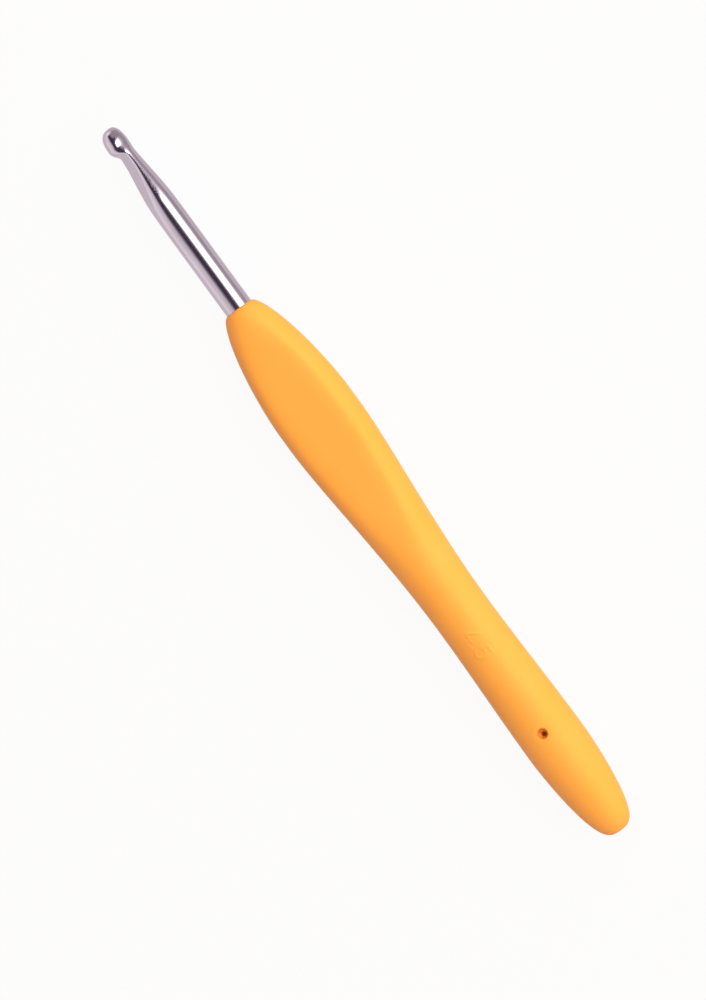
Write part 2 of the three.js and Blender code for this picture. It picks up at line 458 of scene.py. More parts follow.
ALUMINIUM = PolishedMetal(
    name="polished_aluminium",
    base=(0.70, 0.62, 0.68),
    dull=(0.64, 0.56, 0.62),
    roughness=0.11,
    dull_roughness=0.19,
)
SOFT_SKIN = MouldedPlastic(
    name="matte_elastomer",
    base=(0.95, 0.42, 0.037),
    cloudy=(0.97, 0.435, 0.044),
    # painted shade down the hole
    painted_hole_shade=(0.68, 0.2, 0.001),
    roughness=0.55,
    roughness_spread=0.04,
    specular=0.68,
)
CORE_RESIN = MouldedPlastic(
    name="core_resin",
    base=(0.92, 0.34, 0.02),
    cloudy=(0.95, 0.37, 0.03),
    # painted hole shade, as on the skin; the core's own mesh carries no "depth" attribute
    painted_hole_shade=(0.68, 0.2, 0.001),
    roughness=0.42,
    roughness_spread=0.05,
    specular=0.5,
)


# Pieces


@dataclass
class MetalPin:
    """The metal pin: nose, lip, throat, neck and round shank, and the tang inside the handle."""

    shank_diameter: float = 4.5
    exposed_length: float = 34.0
    tang_length: float = 48.0
    # The head and its lip
    nose_length: float = 2.85
    head_half_width: float = 1.61
    head_back_height: float = 1.32
    head_length: float = 2.4
    lip_height: float = 2.03
    lip_crest_end: float = 3.2
    lip_fade_end: float = 4.95
    lip_back_start: float = 3.35
    lip_back_end: float = 4.95
    head_fullness: float = 2.6
    nose_fullness: float = 2.5
    # The throat and the neck
    throat_floor: float = 0.6
    neck_half_width: float = 1.27
    neck_start: float = 4.7
    taper_end: float = 13.4
    back_taper_end: float = 12.6
    taper_softness: float = 1.3
    ramp_start: float = 6.8
    ramp_end: float = 15.0
    ramp_softness: float = 1.0
    ramp_fade_end: float = 21.0
    throat_turn: float = np.radians(43.0)
    throat_sharpness: float = 8.0
    uncut_share: float = 1.5  # of the lip's height: where the floor's cut starts, clear of the metal
    # The tang
    flat_thickness: float = 3.0
    flat_width: float = 5.4
    round_tang: float = 2.5
    press_length: float = 5.0
    end_chamfer: float = 0.6
    # How fine its mesh is
    sectors: int = 144
    nose_rings: int = 31
    lip_step: float = 0.05
    ramp_step: float = 0.2
    shank_step: float = 1.0
    tang_step: float = 0.8

    @property
    def radius(self) -> float:
        """Half of the shank's diameter."""
        return self.shank_diameter / 2

    @property
    def end(self) -> float:
        """X of the tang's end."""
        return self.exposed_length + self.tang_length

    def nose_rise(self, x: Array) -> Array:
        """The oval rise of the nose, from 0 at the tip to 1."""
        return round_rise(x, self.nose_length, self.nose_fullness)

    def half_width(self, x: Array) -> Array:
        """Half of the metal's width across the throat.

        The head's width eases to the neck's, rises from nothing on the oval nose, and grows along a
        straight taper to the shank.

        Args:
            x: The stations.

        Returns:
            The half width at each station.
        """
        head_share = 1 - ease(x, self.head_length, self.neck_start)
        bulge = (self.head_half_width - self.neck_half_width) * head_share
        taper = soft_ramp(x, self.neck_start, self.taper_end, self.taper_softness)
        front = (self.neck_half_width + bulge) * self.nose_rise(x)
        return front + (self.radius - self.neck_half_width) * taper

    def back_height(self, x: Array) -> Array:
        """How far the metal reaches behind the axis: the oval nose, and a straight taper to the shank.

        Args:
            x: The stations.

        Returns:
            The depth at each station.
        """
        taper = soft_ramp(x, self.head_length, self.back_taper_end, self.taper_softness)
        front = self.head_back_height * self.nose_rise(x)
        return front + (self.radius - self.head_back_height) * taper

    def lip_side_height(self, x: Array) -> Array:
        """Height on the throat's side before the cut: the depth behind the axis and the lip's rise."""
        lip = (self.lip_height - self.head_back_height) * self.nose_rise(x)
        return self.back_height(x) + lip * (1 - ease(x, self.lip_crest_end, self.lip_fade_end))

    def throat_height(self, x: Array) -> Array:
        """Height of the throat's floor: it drops behind the lip, runs level and climbs out on a ramp.

        The ramp is slope (p + sqrt(p^2 + s^2)) / 2, where p is how far x is past its start and s softens
        its foot.

        Args:
            x: The stations.

        Returns:
            The floor's height at each station.
        """
        above = self.lip_height * self.uncut_share
        drop = above + (self.throat_floor - above) * ease(x, self.lip_back_start, self.lip_back_end)
        slope = (self.radius - self.throat_floor) / (self.ramp_end - self.ramp_start)
        past = x - self.ramp_start
        return drop + slope * (past + np.hypot(past, self.ramp_softness)) / 2

    def hook_rings(self, x: Array) -> Array:
        """Rings of the hook itself, from the nose to the round shank.

        Each section is an oval that the throat's floor cuts, turned about the axis by the throat's turn.
        The ovals are squarer at the head.

        Args:
            x: The stations.

        Returns:
            The rings' points.
        """
        angle = np.linspace(0, FULL_TURN, self.sectors, endpoint=False) + self.throat_turn
        column = x[:, None]
        sizes = self.half_width(column), self.lip_side_height(column), self.back_height(column)
        head_share = 1 - ease(column, self.lip_back_start, self.lip_back_end)
        whole = oval_radius(angle, *sizes, 2 + (self.head_fullness - 2) * head_share)
        radius = cut_by_flat(whole, angle, self.throat_height(column), self.throat_sharpness)
        return rings_of(x, angle - self.throat_turn, radius)

    def tang_radius(self, angle: Array, x: Array, growth: float) -> Array:
        """Section of the tang: a circle that is pressed to an oval.

        Args:
            angle: The angles from +Z.
            x: The stations, as a column.
            growth: What is added all round.

        Returns:
            The radius at each station and angle.
        """
        start = self.exposed_length + self.round_tang
        pressed = ease(x, start, start + self.press_length)
        half_width = self.radius + (self.flat_width / 2 - self.radius) * pressed + growth
        thickness = self.radius + (self.flat_thickness / 2 - self.radius) * pressed + growth
        return oval_radius(angle, half_width, thickness, thickness)

    def tang_rings(self) -> Array:
        """Rings of the tang, with a chamfer at its end.

        Returns:
            The rings' points.
        """
        angle = np.linspace(0, FULL_TURN, self.sectors, endpoint=False)
        chamfer = self.end - self.end_chamfer
        x = np.append(np.arange(self.exposed_length, chamfer, self.tang_step), chamfer)
        body = rings_of(x, angle, self.tang_radius(angle, x[:, None], 0.0))
        last = np.array([self.end])
        end = rings_of(last, angle, self.tang_radius(angle, last[:, None], -self.end_chamfer))
        return np.concatenate([body, end])

    def stations(self) -> Array:
        """Stations of the hook: crowded on the nose, close at the lip and wider towards the shank.

        Returns:
            The stations' X, without the pole at the tip.
        """
        nose = self.nose_length * (1 - np.cos(np.linspace(0, np.pi / 2, self.nose_rings)[1:-1]))
        lip = np.arange(self.nose_length, self.lip_fade_end, self.lip_step)
        ramp = np.arange(self.lip_fade_end, self.ramp_fade_end, self.ramp_step)
        shank = np.arange(self.ramp_fade_end, self.exposed_length, self.shank_step)
        return np.concatenate([nose, lip, ramp, shank])

    def build(self, axis_place: Array, finish: PolishedMetal) -> Piece:
        """Builds the pin in place of its solid.

        Args:
            axis_place: Where the hook's tip lies in the frame.
            finish: The metal's finish.

        Returns:
            The object.
        """
        skin = Skin()
        numbers = skin.add_points(np.concatenate([self.hook_rings(self.stations()), self.tang_rings()]))
        skin.add_strip(numbers)
        skin.add_pole(numbers[0], np.zeros(3), at_end=False)
        skin.add_pole(numbers[-1], np.array([self.end, 0, 0]), at_end=True)
        pin = skin.to_object("metal_pin", axis_place)
        dress(pin, finish.material())
        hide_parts("hook_shaft")
        return pin


@dataclass
class SizeMark:
    """The plain number on the back part of the grip: 4.5, raised by a hair's breadth."""

    start: float = 94.6
    digit_height: float = 2.4
    rise: float = 0.07
    half_stroke: float = 0.18
    softness: float = 0.13
    # Its strokes, in shares of a digit's height
    four: tuple[Pair, ...] = ((0.46, 0.0), (0.46, 1.0), (0.0, 0.3), (0.64, 0.3))
    point: tuple[Pair, ...] = ((0.95, 0.05), (0.97, 0.05))
    five_top: tuple[Pair, ...] = ((1.82, 1.0), (1.38, 1.0), (1.33, 0.55))
    five_centre: Pair = (1.55, 0.33)
    five_radius: float = 0.33
    five_turn: Pair = (132.0, -142.0)
    bowl_points: int = 16
    span_in_digits: float = 1.95
    span_margin: float = 0.6

    def strokes(self) -> Array:
        """The straight strokes of the number, in shares of a digit's height.

        The five's bowl is a run of points on a circle.

        Returns:
            Rows of X and Y of a stroke's start and of its end.
        """
        turn = np.radians(np.linspace(*self.five_turn, self.bowl_points))
        bowl = np.stack([np.cos(turn), np.sin(turn)], axis=-1) * self.five_radius + self.five_centre
        lines = [np.array(self.four), np.array(self.point), np.array(self.five_top), bowl]
        return np.concatenate([np.concatenate([line[:-1], line[1:]], axis=1) for line in lines])

    def relief(self, x: Array, y: Array) -> Array:
        """How far the number stands out of the skin.

        For each point the distance to the nearest stroke is found, as the distance to the nearest point of
        a line. The rise falls off smoothly where that distance passes half of a stroke's width.

        Args:
            x: The stations.
            y: The distance across from the top line of the grip.

        Returns:
            The height of the relief.
        """
        strokes = self.strokes() * self.digit_height
        origin, run = strokes[:, :2], strokes[:, 2:] - strokes[:, :2]
        place = np.stack([x - self.start, y + self.digit_height / 2], axis=-1)[..., None, :] - origin
        share = np.clip(np.sum(place * run, axis=-1) / np.sum(run * run, axis=-1), 0, 1)
        distance = np.min(np.linalg.norm(place - share[..., None] * run, axis=-1), axis=-1)
        low, high = self.half_stroke - self.softness, self.half_stroke + self.softness
        return self.rise * (1 - ease(distance, low, high))

    def span(self) -> Pair:
        """X where the number's place starts and where it ends."""
        end = self.start + self.span_in_digits * self.digit_height
        return self.start - self.span_margin, end + self.span_margin


@dataclass
class SoftGrip:
    """The soft skin of the handle: thumb pad, waist, rear part and the hole that the mould pin left."""

    pin: MetalPin
    mark: SizeMark
    # Its widths and heights, and where they stand
    length: float = 99.0
    mouth_radius: float = 2.3
    pad_width: float = 13.2
    pad_station: float = 22.8
    waist_width: float = 9.04
    waist_to_rear: float = 24.0
    rear_width: float = 9.82
    rear_nose: float = 16.5
    shoulder: float = 12.0
    width_rise: float = 19.5
    rise_fullness: float = 1.62
    pad_body: Pair = (4.9, 5.1)  # above the axis and below it, here and in the next two
    waist_body: Pair = (4.45, 4.5)
    rear_body: Pair = (4.8, 4.85)
    rest_depth: float = 4.7
    rest_sharpness: float = 36.0
    plan_lean: float = 0.82  # the power of the way from the pad to the waist
    end_curve: float = 1.6
    end_fullness: float = 0.3
    # The thumb pad's saddle
    pad_height: float = 3.6
    pad_front_rise: float = 0.25
    pad_rear_rise: float = 1.3
    pad_rear_length: float = 23.2
    pad_rear_curve: float = 3.0
    pad_sharpness: float = 13.0
    # The space for the core and the bore for the tang
    skin_thickness: float = 0.9
    clearance: float = 0.3
    core_front: float = 8.0
    core_rear: float = 6.0
    bore_growth: float = 0.02
    # The mould pin's hole
    hole_diameter: float = 1.6
    hole_foot: float = 0.66
    hole_lean: Pair = (0.2, 0.1)  # how far the foot stands off the hole's centre
    hole_bowl: float = 3.0  # the power of the depth by which it narrows
    hole_setback: float = 19.2
    hole_round: float = 0.26
    hole_dish: float = 0.05
    hole_dish_width: float = 0.9
    # How fine its mesh is
    sectors: int = 160
    top_crowding: float = 0.5
    least_size: float = 1e-6
    outline_points: int = 6001
    front_step: float = 0.45
    mark_step: float = 0.09
    rear_step: float = 0.3
    cavity_counts: tuple[int, int] = (12, 60)  # rings behind the hole, and ahead of it
    cavity_end_shares: Pair = (0.3, 0.65)
    bore_count: int = 16
    angle_rounds: int = 6
    hole_counts: tuple[int, int, int, int] = (13, 7, 10, 6)  # for its face, edge, wall and inner face
    block_rows: int = 16
    block_columns: int = 32
    block_half: float = 1.6

    @property
    def front(self) -> float:
        """X of the grip's mouth."""
        return self.pin.exposed_length

    @property
    def end(self) -> float:
        """X of the grip's far end."""
        return self.front + self.length

    @property
    def core_space(self) -> Pair:
        """X of the front and of the far end of the space that holds the core."""
        front, rear = self.front + self.core_front, self.end - self.core_rear
        return front - self.clearance, rear + self.clearance

    @property
    def hole_place(self) -> float:
        """X of the hole's centre."""
        return self.end - self.hole_setback

    def size(self, x: Array, rise: float, pad: float, waist: float, rear: float) -> Array:
        """One size of the grip along its length.

        It swells from the mouth to the pad on a quarter oval, falls to the waist, rises to the rear part
        and closes in a blunt end, (1 - p^c)^f with p the share of the way through the end.

        Args:
            x: The stations, from the grip's front.
            rise: The length of the swell at the front.
            pad: The size at the pad.
            waist: The size at the waist.
            rear: The size at the rear part.

        Returns:
            The size at each station.
        """
        rear_station = self.length - self.rear_nose
        waist_station = rear_station - self.waist_to_rear
        start = self.mouth_radius + (pad - self.mouth_radius) * round_rise(x, rise, self.rise_fullness)
        way = (x - self.pad_station) / (waist_station - self.pad_station)
        fall = (waist - pad) * ease(np.clip(way, 0, 1) ** self.plan_lean, 0, 1)
        swell = (rear - waist) * ease(x, waist_station, rear_station)
        past = np.maximum(0, x - rear_station) / self.rear_nose
        return (start + fall + swell) * np.maximum(0, 1 - past**self.end_curve) ** self.end_fullness

    def saddle(self, x: Array) -> Array:
        """Height of the thumb pad: its lowest place, a square rise to the front and a cubic one behind.

        Args:
            x: The stations, from the grip's front.

        Returns:
            The height above the axis.
        """
        front = np.maximum(0, self.pad_station - x) / self.pad_station
        rear = np.maximum(0, x - self.pad_station) / self.pad_rear_length
        rise = self.pad_front_rise * front**2 + self.pad_rear_rise * rear**self.pad_rear_curve
        return self.pad_height + rise

    def body_radius(self, angle: Array, x: Array) -> Array:
        """Radius of the grip: an oval that the pad's saddle cuts above and the rest face below.

        Args:
            angle: The angles from +Z.
            x: The stations, from the hook's tip.

        Returns:
            The radius.
        """
        own = x - self.front
        sizes = [
            self.size(own, self.shoulder, pad, waist, rear)
            for pad, waist, rear in zip(self.pad_body, self.waist_body, self.rear_body)
        ]
        half_widths = (width / 2 for width in (self.pad_width, self.waist_width, self.rear_width))
        half = self.size(own, self.width_rise, *half_widths)
        oval = oval_radius(angle, *np.maximum([half, *sizes], self.least_size))
        radius = cut_by_flat(oval, angle, self.saddle(own), self.pad_sharpness)
        return cut_by_flat(radius, np.pi - angle, self.rest_depth, self.rest_sharpness)

    def outer_radius(self, angle: Array, x: Array) -> Array:
        """Radius of the grip with the number on it.

        Args:
            angle: The angles from +Z.
            x: The stations, from the hook's tip.

        Returns:
            The radius.
        """
        radius = self.body_radius(angle, x)
        start, end = self.mark.span()
        marked = (x[:, 0] > start) & (x[:, 0] < end)
        across = radius[marked] * np.sin(angle)
        stations = np.broadcast_to(x[marked], across.shape)
        radius[marked] += np.where(np.cos(angle) > 0, self.mark.relief(stations, across), 0)
        return radius

    def angles(self) -> Array:
        """Angles from -pi to pi, f - c sin f for even f and the crowding c, so closer near the top."""
        even = np.linspace(-np.pi, np.pi, self.sectors, endpoint=False)
        return even - self.top_crowding * np.sin(even)

    def hole_stations(self) -> Array:
        """The stations of the block of cells that the hole takes."""
        return self.hole_place + np.linspace(-self.block_half, self.block_half, self.block_rows + 1)

    def outer_stations(self) -> tuple[Array, int]:
        """Stations of the outer face, even along its outline and closer together at the number.

        Returns:
            The stations, and where the hole's block starts among them.
        """
        x = crowded_ends(self.front, self.end, self.outline_points)
        outline = np.stack([x, self.body_radius(np.array(np.pi / 2), x)], axis=-1)
        block = self.hole_stations()
        mark_start, mark_end = self.mark.span()
        before = np.concatenate([
            even_stations(outline, self.front, mark_start, self.front_step),
            even_stations(outline, mark_start, mark_end, self.mark_step),
            even_stations(outline, mark_end, block[0], self.rear_step),
        ])
        after = even_stations(outline, block[-1], self.end, self.rear_step)[1:]
        return np.concatenate([before, block, after]), len(before)

    def cavity_rings(self, angle: Array) -> tuple[Array, int]:
        """Rings of the space that holds the core, from its far end to its front.

        Args:
            angle: The angles of a ring's points.

        Returns:
            The rings' points, and where the hole's block starts among them.
        """
        front, rear = self.core_space
        block = self.hole_stations()
        behind = np.linspace(rear, block[-1], self.cavity_counts[0])[:-1]
        ahead = np.linspace(block[0], front, self.cavity_counts[1])[1:]
        x = np.concatenate([behind, block[::-1], ahead])
        radius = self.body_radius(angle, x[:, None]) - self.skin_thickness
        shrink = np.array(self.cavity_end_shares)[:, None]
        far_end = rings_of(np.full(len(shrink), rear), angle, radius[:1] * shrink)
        bore = self.pin.tang_radius(angle, np.full((1, 1), front), self.bore_growth)
        near_end = rings_of(np.full(1, front), angle, (radius[-1:] + bore) / 2)
        return np.concatenate([far_end, rings_of(x, angle, radius), near_end]), len(far_end) + len(behind)

    def bore_rings(self, angle: Array) -> Array:
        """Rings of the bore that closes on the tang, from the core's space to the mouth."""
        x = np.linspace(self.core_space[0], self.front, self.bore_count)
        return rings_of(x, angle, self.pin.tang_radius(angle, x[:, None], self.bore_growth))

    def height_at(self, x: Array, y: Array, inset: float) -> Array:
        """Height of the skin above the axis at a place near its top line.

        The angle a is found by repeating sin a = y / R(a) a few times from a = 0.

        Args:
            x: The stations.
            y: The distance across.
            inset: How far below the outer face the wanted face lies.

        Returns:
            The height.
        """
        angle = np.zeros_like(y)
        for _ in range(self.angle_rounds):
            angle = np.arcsin(y / (self.body_radius(angle, x) - inset))
        return (self.body_radius(angle, x) - inset) * np.cos(angle)

    def hole_rings(self, outer_loop: Array, inner_loop: Array) -> Array:
        """Rings of the hole, from the outer face over its rounded edge and down its bowl to the inner face.

        A loop round a square block of cells passes into a circle by even shares. The bowl closes in to a
        narrower foot by a power of the depth.

        Args:
            outer_loop: Points round the block on the outer face.
            inner_loop: Points round the block on the inner face.

        Returns:
            The rings' points.
        """
        radius, rounding = self.hole_diameter / 2, self.hole_round
        to_face, to_edge, to_wall, to_under = self.hole_counts
        offset = outer_loop[:, :2] - [self.hole_place, 0]
        turn = np.arctan2(offset[:, 1] / np.max(offset[:, 1]), offset[:, 0] / np.max(offset[:, 0]))
        circle = np.stack([np.cos(turn), np.sin(turn)], axis=-1)
        share = np.linspace(0, 1, to_face)[1:, None, None]
        flat = offset * (1 - share) + circle * (radius + rounding) * share
        roll = np.linspace(0, np.pi / 2, to_edge)[1:, None, None]
        edge = circle * (radius + rounding * (1 - np.sin(roll)))
        drops = np.concatenate([np.zeros(len(flat)), rounding * (1 - np.cos(roll[:, 0, 0]))])
        plan = np.concatenate([flat, edge])
        away = np.linalg.norm(plan, axis=-1)
        dish = self.hole_dish * (1 - ease(away, radius, radius + self.hole_dish_width))
        top = self.height_at(self.hole_place + plan[..., 0], plan[..., 1], 0.0) - dish - drops[:, None]
        inner_offset = inner_loop[:, :2] - [self.hole_place, 0]
        spread = np.linspace(0, 1, to_under)[:-1, None, None]
        foot = circle * self.hole_foot / 2 + self.hole_lean
        under = foot * (1 - spread) + inner_offset * spread
        bottom = self.height_at(self.hole_place + under[..., 0], under[..., 1], self.skin_thickness)
        down = np.linspace(0, 1, to_wall)[1:-1, None]
        wall_z = top[-1] * (1 - down) + bottom[0] * down
        wall = plan[-1] + (foot - plan[-1]) * down[..., None] ** self.hole_bowl
        plan = np.concatenate([plan, wall, under])
        z = np.concatenate([top, wall_z, bottom])
        return np.stack([self.hole_place + plan[..., 0], plan[..., 1], z], axis=-1)

    def block_loop(self) -> tuple[Array, Array]:
        """The way round the hole's block of cells, as row and column steps from its corner.

        Returns:
            The row step and the column step of each point on the way.
        """
        rows, columns = self.block_rows, self.block_columns
        row = np.concatenate([
            np.full(columns, rows), np.arange(rows, 0, -1), np.zeros(columns, int), np.arange(rows),
        ])
        column = np.concatenate([
            np.arange(columns, 0, -1), np.zeros(rows, int), np.arange(columns), np.full(rows, columns),
        ])
        return row, column

    def mark_depth(self, mesh: bpy.types.Mesh, axis_place: Array) -> None:
        """Stores how far down the hole each point lies, from 0 on the face to 1 at the foot, as the mask of
        the painted hole shade.

        Args:
            mesh: The grip's mesh, in the frame.
            axis_place: Where the hook's tip lies in the frame.
        """
        points = np.empty(3 * len(mesh.vertices))
        mesh.vertices.foreach_get("co", points)
        x, y, z = (points.reshape(-1, 3) - axis_place).T / MM
        away = np.hypot(x - self.hole_place, y)
        face = self.body_radius(np.zeros(1), np.array([[self.hole_place]]))[0, 0]
        in_hole = (z > 0) & (away < self.hole_diameter / 2 + self.hole_round)
        # Mask of the painted shade: 0 on the face, 1 a skin's thickness down the hole
        depth = ease(face - z, 0.0, self.skin_thickness) * in_hole
        mesh.attributes.new("depth", "FLOAT", "POINT").data.foreach_set("value", depth)

    def build(self, axis_place: Array, finish: MouldedPlastic) -> Piece:
        """Builds the grip in place of its solid, as one closed skin.

        The rings run from the far end of the core's space, through the bore and the mouth, and back over
        the outer face. Two blocks of cells make way for the hole.

        Args:
            axis_place: Where the hook's tip lies in the frame.
            finish: The elastomer's finish.

        Returns:
            The object.
        """
        angle = self.angles()
        cavity, cavity_block = self.cavity_rings(angle)
        bore = self.bore_rings(angle)
        stations, outer_block = self.outer_stations()
        outer = rings_of(stations, angle, self.outer_radius(angle, stations[:, None]))
        skin = Skin()
        numbers = skin.add_points(np.concatenate([cavity, bore, outer]))
        outer_block += len(cavity) + len(bore)
        first_column = (self.sectors - self.block_columns) // 2
        keep = np.ones((len(numbers) - 1, self.sectors), bool)
        columns = slice(first_column, first_column + self.block_columns)
        for block in (cavity_block, outer_block):
            keep[block:block + self.block_rows, columns] = False
        skin.add_strip(numbers, keep)
        row, column = self.block_loop()
        points = np.concatenate(skin.points)
        outer_loop = numbers[outer_block + row, first_column + column]
        inner_loop = numbers[cavity_block + self.block_rows - row, first_column + column]
        hole = skin.add_points(self.hole_rings(points[outer_loop], points[inner_loop]))
        skin.add_strip(np.concatenate([outer_loop[None], hole, inner_loop[None]]))
        skin.add_pole(numbers[0], np.array([self.core_space[1], 0, 0]), at_end=False)
        skin.add_pole(numbers[-1], np.array([self.end, 0, 0]), at_end=True)
        grip = skin.to_object("soft_grip", axis_place)
        # the mask that paints shade down the hole
        self.mark_depth(grip.data, axis_place)
        dress(grip, finish.material())
        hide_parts("grip")
        return grip


@dataclass
class HandleCore:
    """The hard core under the skin, whose solid has the right shape and shows only down the hole."""

    node: str = "handle_core"

    def build(self, finish: MouldedPlastic) -> Piece:
        """Gives the core's solid its finish.

        Args:
            finish: The resin's finish.

        Returns:
            The object.
        """
        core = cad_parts[self.node]
        core.data.materials.clear()
        core.data.materials.append(finish.material())
        LOG.info("%s: kept, with a new finish", self.node)
        return core


# Studio


class SeenBy(Enum):
    """Which rays see a card."""

    GLOSSY_ONLY = "glossy only"
    ALL = "all"


@dataclass
class Studio:
    """The floor, the light and the camera.

    Directions lie in the plane across the shank and are given by their angle from the camera's own
    direction towards the grip's right-hand side.
    """

    centre: Array
    # The camera
    roll: float = np.radians(12.5)
    axis_turn: Pair = (0.59032, 0.80717)  # how far the shank runs across the picture and down it
    pixels_per_mm: float = 6.53
    frame_pixels: float = 1000.0
    centre_offset: Pair = (11.3, 20.3)  # in pixels, to the right of the picture's centre and above it
    distance: float = 0.9
    sensor: float = 36.0
    clip_start: float = 0.01
    # The world and the floor
    ambient: Colour = (0.5, 0.28, 0.12)
    floor_colour: Colour = (0.70, 0.74, 0.78)
    floor_whiteness: float = 0.93
    floor_size: float = 4.0
    floor_drop: float = 0.00005
    # The key lamp, which the metal doesn't mirror
    key_angle: float = np.radians(31.0)
    key_distance: float = 1.2
    key_size: Pair = (2.4, 2.1)
    key_power: float = 29.0
    key_colour: Colour = (1.0, 1.0, 1.1)
    # The dome that the metal mirrors: its form, its colours and where they change, in degrees
    hook_place: float = -0.048  # X of the dome's middle, over the metal
    dome_radius: float = 1.0
    dome_angles: Pair = (-102.0, 77.0)
    dome_reach: float = 1.6
    dome_counts: tuple[int, int] = (401, 120)  # rings along the hook, and points on each
    left_glow: Colour = (1.0, 0.95, 0.99)
    pale_glow: Colour = (0.80, 0.76, 0.79)
    dark_glow: Colour = (0.06, 0.045, 0.08)
    grey_glow: Colour = (0.38, 0.35, 0.39)
    white_glow: Colour = (1.6, 1.58, 1.57)
    core_glow: float = 5.0
    left_to_pale: Pair = (-90.0, -58.0)
    pale_to_dark: Pair = (-54.0, -22.0)
    dark_to_grey: Pair = (30.0, 60.0)
    white_start: Pair = (-1.0, 24.0)
    white_end: Pair = (48.0, 71.0)
    core_start: Pair = (12.0, 30.0)
    core_end: Pair = (36.0, 54.0)
    # Along the hook: the lamp's ends as shares of the dome's radius, and what changes past them
    white_lean: float = 400.0
    lamp_ends: Pair = (-0.15, 0.16)
    dark_narrowing: float = 30.0
    narrow_from: Pair = (0.36, 0.6)
    # The mats that it mirrors from below: where each starts and ends across the hook, and its colour
    mat_length: float = 0.5
    mat_drop: float = 0.00003
    mats: tuple[tuple[float, float, Colour], ...] = (
        (-0.5, 0.0, (0.76, 0.72, 0.76)),
        (0.0, 0.024, (0.72, 0.66, 0.70)),
        (0.024, 0.5, (0.38, 0.35, 0.39)),
    )

    def direction(self, angle: float) -> Vector:
        """The direction at an angle from the camera's, (0, sin, cos) of the roll plus the angle."""
        return Vector((0, np.sin(self.roll + angle), np.cos(self.roll + angle)))

    def add_camera(self) -> None:
        """Places the camera square above the hook, turned so that the shank slants as photographed."""
        across = self.direction(np.pi / 2)
        along, over = self.axis_turn
        right = Vector((along, 0, 0)) + across * over
        up = Vector((-over, 0, 0)) + across * along
        view = self.direction(0.0)
        offset = right * self.centre_offset[0] + up * self.centre_offset[1]
        target = Vector(self.centre) - offset * (MM / self.pixels_per_mm)
        data = bpy.data.cameras.new("camera")
        data.sensor_width = self.sensor
        data.lens = self.sensor * self.distance * self.pixels_per_mm / (self.frame_pixels * MM)
        data.clip_start = self.clip_start
        camera = new_object("camera", data)
        turn = Matrix((right, up, view)).transposed().to_4x4()
        camera.matrix_world = Matrix.Translation(target + view * self.distance) @ turn
        bpy.context.scene.camera = camera

    def add_world(self) -> None:
        """Lights the scene from all round, and looks white to the camera and in reflections.

        The light that falls on the object from all round is warm, and the key lamp's is not.
        """
        world = bpy.data.worlds.new("studio")
        world.use_nodes = True
        world.node_tree.nodes.clear()
        sheet = NodeSheet(world.node_tree)
        colour = sheet.blend(self.seen_directly(sheet), opaque(self.ambient), opaque(WHITE))
        light = sheet.add("ShaderNodeBackground", {"Color": colour, "Strength": 1.0})
        sheet.add("ShaderNodeOutputWorld", {"Surface": light.outputs["Background"]})
        bpy.context.scene.world = world

    @staticmethod
    def seen_directly(sheet: NodeSheet) -> Socket:
        """Whether a ray comes from the camera, a reflection or a clear piece.

        Args:
            sheet: The node tree that needs it.

        Returns:
            1 for such a ray, and 0 for others.
        """
        rays = sheet.add("ShaderNodeLightPath", {}).outputs
        mirrored = sheet.calculate("MAXIMUM", rays["Is Glossy Ray"], rays["Is Transmission Ray"])
        return sheet.calculate("MAXIMUM", rays["Is Camera Ray"], mirrored)

    def add_floor(self) -> None:
        """Lays a pale floor that looks nearly white and keeps a faint shadow of the hook."""
        sheet = new_material("pale_floor")
        share = sheet.calculate("MULTIPLY", self.seen_directly(sheet), self.floor_whiteness)
        pale = sheet.add("ShaderNodeBsdfDiffuse", {"Color": opaque(self.floor_colour)})
        shaders = {0: share, 1: pale.outputs["BSDF"], 2: sheet.glow(opaque(WHITE))}
        mixed = sheet.add("ShaderNodeMixShader", shaders)
        material = finish_material(sheet, mixed.outputs["Shader"])
        sides = (-self.floor_size / 2, self.floor_size / 2)
        self.add_mesh(self.flat_card("floor", sides, sides, -self.floor_drop, material), SeenBy.ALL)

    @staticmethod
    def flat_card(name: str, x: Pair, y: Pair, height: float, material: Material) -> bpy.types.Mesh:
        """Makes the mesh of a level card.

        Args:
            name: The card's name.
            x: Where it starts and ends along X.
            y: Where it starts and ends along Y.
            height: Its height.
            material: Its material.

        Returns:
            The mesh, which faces up.
        """
        mesh = bpy.data.meshes.new(name)
        plan = [(x[0], y[0]), (x[1], y[0]), (x[1], y[1]), (x[0], y[1])]
        mesh.from_pydata([(*corner, height) for corner in plan], [], [tuple(range(len(plan)))])
        mesh.materials.append(material)
        return mesh

    @staticmethod
    def add_mesh(mesh: bpy.types.Mesh, seen_by: SeenBy) -> None:
        """Adds a mesh that isn't part of the object.

        Args:
            mesh: The mesh, whose name the object takes.
            seen_by: Which rays see it.
        """
        card = new_object(mesh.name, mesh)
        if seen_by is SeenBy.GLOSSY_ONLY:
            card.visible_camera = card.visible_diffuse = card.visible_shadow = False
            card.visible_transmission = card.visible_volume_scatter = False

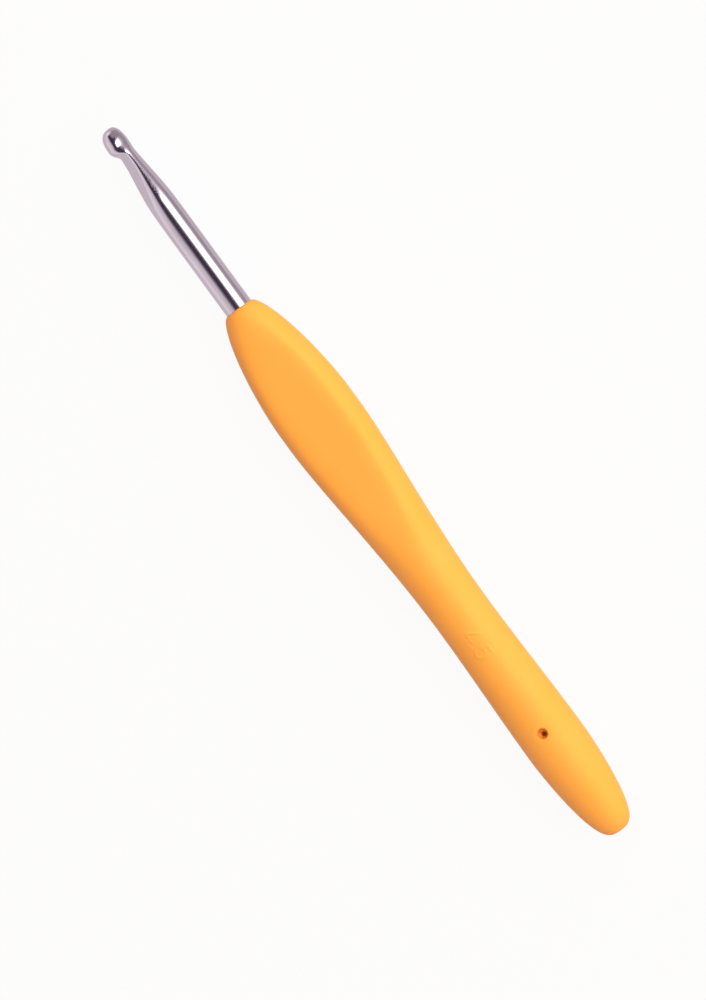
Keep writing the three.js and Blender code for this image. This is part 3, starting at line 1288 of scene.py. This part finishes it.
    def dome_glow(self, tilt: Array, angle: Array) -> Array:
        """What the metal mirrors from over the hook.

        From left to right the glow falls from bright to dark, and goes through a soft lamp's white to grey.
        The lamp is brightest in its middle, and it fades from its left edge where the dome reaches past
        either of its ends. Far past the hook's tip the dark strip is narrower.

        Args:
            tilt: How far along X the dome is read, as a share of its radius.
            angle: The angle from the camera's direction, in degrees.

        Returns:
            The colour at each place.
        """
        glows = (self.left_glow, self.pale_glow, self.dark_glow, self.grey_glow, self.white_glow)
        left, pale, dark, grey, white = np.array(glows)
        past_end = np.maximum(self.lamp_ends[0] - tilt, tilt - self.lamp_ends[1])
        lean = self.white_lean * np.maximum(0, past_end)
        narrowing = self.dark_narrowing * ease(-tilt, *self.narrow_from)
        to_pale = ease(angle, *self.left_to_pale)[..., None]
        to_dark = ease(angle, *self.pale_to_dark)[..., None]
        to_grey = ease(angle + narrowing, *self.dark_to_grey)[..., None]
        lit = (ease(angle - lean, *self.white_start) * (1 - ease(angle, *self.white_end)))[..., None]
        under = left + (pale - left) * to_pale + (dark - pale) * to_dark + (grey - dark) * to_grey
        core = ease(angle - lean, *self.core_start) * (1 - ease(angle, *self.core_end))
        return under + (white - under) * lit + self.core_glow * core[..., None]

    def add_dome(self) -> None:
        """Adds the half tube over the hook that the metal mirrors."""
        rings, points = self.dome_counts
        tilt = np.concatenate([[-self.dome_reach], np.linspace(-1, 1, rings), [self.dome_reach]])
        angle = np.linspace(*self.dome_angles, points)
        tilts, angles = np.meshgrid(tilt, angle, indexing="ij")
        turn = self.roll + np.radians(angles)
        middle = np.array([self.hook_place, 0, self.centre[2]])
        places = middle + self.dome_radius * np.stack([tilts, np.sin(turn), np.cos(turn)], axis=-1)
        numbers = np.arange(tilts.size).reshape(tilts.shape)
        cells = np.stack([numbers[:-1, :-1], numbers[1:, :-1], numbers[1:, 1:], numbers[:-1, 1:]], axis=-1)
        mesh = bpy.data.meshes.new("dome")
        mesh.from_pydata(places.reshape(-1, 3).tolist(), [], cells.reshape(-1, 4).tolist())
        glow = mesh.color_attributes.new("glow", "FLOAT_COLOR", "POINT")
        colour = self.dome_glow(tilts, angles).reshape(-1, 3)
        glow.data.foreach_set("color", np.column_stack([colour, np.ones(len(colour))]).ravel())
        sheet = new_material("dome")
        given = sheet.add("ShaderNodeAttribute", {}, attribute_name="glow").outputs["Color"]
        mesh.materials.append(finish_material(sheet, sheet.glow(given)))
        self.add_mesh(mesh, SeenBy.GLOSSY_ONLY)

    def add_mats(self) -> None:
        """Lays mats beside the hook that the metal mirrors."""
        ends = (-self.mat_length, self.mat_length)
        for number, (near, far, colour) in enumerate(self.mats):
            name = f"mat_{number}"
            sheet = new_material(name)
            material = finish_material(sheet, sheet.glow(opaque(colour)))
            card = self.flat_card(name, ends, (near, far), -self.mat_drop, material)
            self.add_mesh(card, SeenBy.GLOSSY_ONLY)

    def add_key(self) -> None:
        """Hangs a long soft lamp on the grip's right-hand side, square to the shank."""
        data = bpy.data.lights.new("key", "AREA")
        data.shape = "RECTANGLE"
        data.size, data.size_y = self.key_size
        data.energy = self.key_power
        data.color = self.key_colour
        towards = self.direction(self.key_angle)
        length = Vector((1, 0, 0))
        turn = Matrix((length, towards.cross(length), towards)).transposed().to_4x4()
        key = new_object("key", data)
        key.matrix_world = Matrix.Translation(Vector(self.centre) + towards * self.key_distance) @ turn
        key.visible_glossy = False

    def build(self) -> None:
        """Sets up the whole studio."""
        self.add_world()
        self.add_floor()
        self.add_key()
        self.add_dome()
        self.add_mats()
        self.add_camera()
        bpy.context.scene.view_settings.view_transform = "Standard"


def main() -> None:
    """Builds the pieces in order and sets up the studio."""
    logging.basicConfig(level=logging.INFO, format="%(name)s: %(message)s")
    pin = MetalPin()
    grip = SoftGrip(pin=pin, mark=SizeMark())
    axis_place = np.array([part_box("hook_shaft")[0].x, 0.0, grip.rest_depth * MM])
    pin.build(axis_place, ALUMINIUM)
    HandleCore().build(CORE_RESIN)
    grip.build(axis_place, SOFT_SKIN)
    Studio(centre=np.array([0.0, 0.0, axis_place[2]])).build()


if __name__ == "__main__":
    main()
